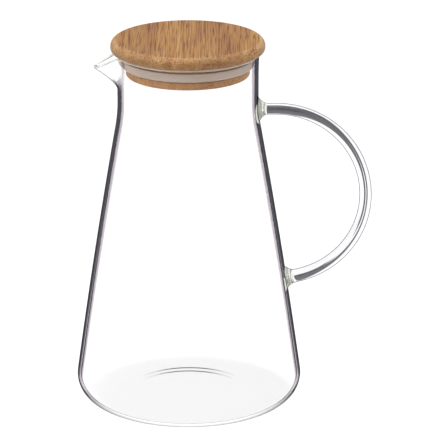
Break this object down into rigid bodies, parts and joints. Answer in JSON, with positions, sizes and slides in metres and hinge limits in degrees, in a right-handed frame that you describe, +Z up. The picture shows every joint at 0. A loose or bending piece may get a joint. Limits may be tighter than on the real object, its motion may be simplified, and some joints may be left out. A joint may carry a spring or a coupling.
{
  "type": "glass pitcher",
  "caption": "Conical clear glass pitcher with a pinched pouring spout, a bowed glass-rod handle and a round bamboo lid sealed by a silicone ring.",
  "frame": {"origin": "centre of the flat foot ring that the pitcher stands on, on the body's axis", "axes": "+Z up along the body's axis, +X towards the handle, -X towards the spout"},
  "size_m": [0.1831, 0.1398, 0.231],
  "materials": {
    "clear_glass": "clear, fire polished",
    "rod_glass": "clear, fire polished",
    "cap_bamboo": "sanded laminated bamboo, oiled, grain along Y",
    "plug_bamboo": "turned laminated bamboo",
    "silicone": "translucent silicone, satin"
  },
  "bodies": {
    "vessel": {"glass_body": "clear_glass", "handle": "rod_glass"},
    "gasket": {"seal": "silicone"},
    "lid": {"plug": "plug_bamboo", "cap_strip_1": "cap_bamboo", "cap_strip_2": "cap_bamboo", "cap_strip_3": "cap_bamboo", "cap_strip_4": "cap_bamboo", "cap_strip_5": "cap_bamboo", "cap_strip_6": "cap_bamboo", "cap_strip_7": "cap_bamboo"}
  },
  "joints": [
    {"name": "lid_lift", "type": "slide", "parent": "vessel", "child": "gasket", "axis": [0, 0, 1], "range_m": [0, 0.1]},
    {"name": "lid_turn", "type": "hinge", "parent": "gasket", "child": "lid", "pos_m": [0, 0, 0.216], "axis": [0, 0, 1], "continuous": true}
  ]
}
